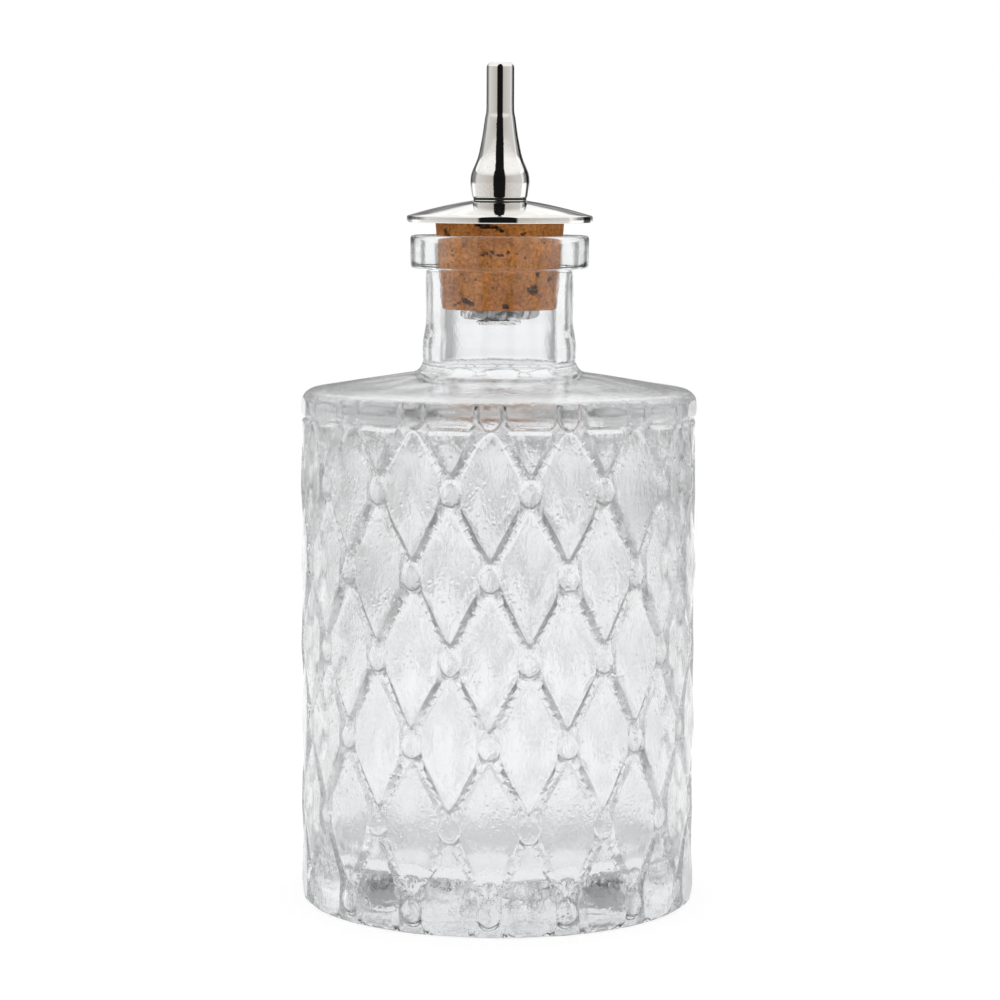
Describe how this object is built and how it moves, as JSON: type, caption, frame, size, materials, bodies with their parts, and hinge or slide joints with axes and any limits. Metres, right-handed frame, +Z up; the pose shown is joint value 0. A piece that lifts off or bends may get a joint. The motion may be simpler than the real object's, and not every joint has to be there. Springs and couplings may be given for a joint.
{
  "type": "bitters bottle",
  "caption": "Round clear glass bitters bottle with a moulded diamond pattern, a short collared neck, and a cork stopper that carries a polished metal dasher spout.",
  "frame": {"origin": "middle of the foot, on the plane the bottle stands on", "axes": "+Z up along the bottle's axis to the spout's tip, -Y towards the front of the picture"},
  "size_m": [0.0678, 0.0678, 0.1434],
  "materials": {
    "clear_glass": "polished",
    "natural_cork": "natural cork",
    "polished_metal": "mirror polished",
    "zinc_steel": "zinc plated",
    "black_rubber": "matt"
  },
  "bodies": {
    "bottle": {"bottle": "clear_glass"},
    "stopper": {"cork": "natural_cork", "disc": "polished_metal", "stem": "polished_metal", "nut": "zinc_steel"},
    "spout_seal": {"spout_seal": "black_rubber"},
    "spout": {"spout": "polished_metal"}
  },
  "joints": [
    {"name": "stopper_pull", "type": "slide", "parent": "bottle", "child": "stopper", "axis": [0, 0, 1], "range_m": [0, 0.04]},
    {"name": "spout_lift", "type": "slide", "parent": "stopper", "child": "spout_seal", "axis": [0, 0, 1], "range_m": [0, 0.0036]},
    {"name": "spout_unscrew", "type": "hinge", "parent": "spout_seal", "child": "spout", "pos_m": [0, 0, 0.1205], "axis": [0, 0, 1], "range_deg": [0, 1620]}
  ],
  "couplings": [
    {"joint": "spout_unscrew", "follows": "spout_lift", "rad_per_m": 7854}
  ]
}
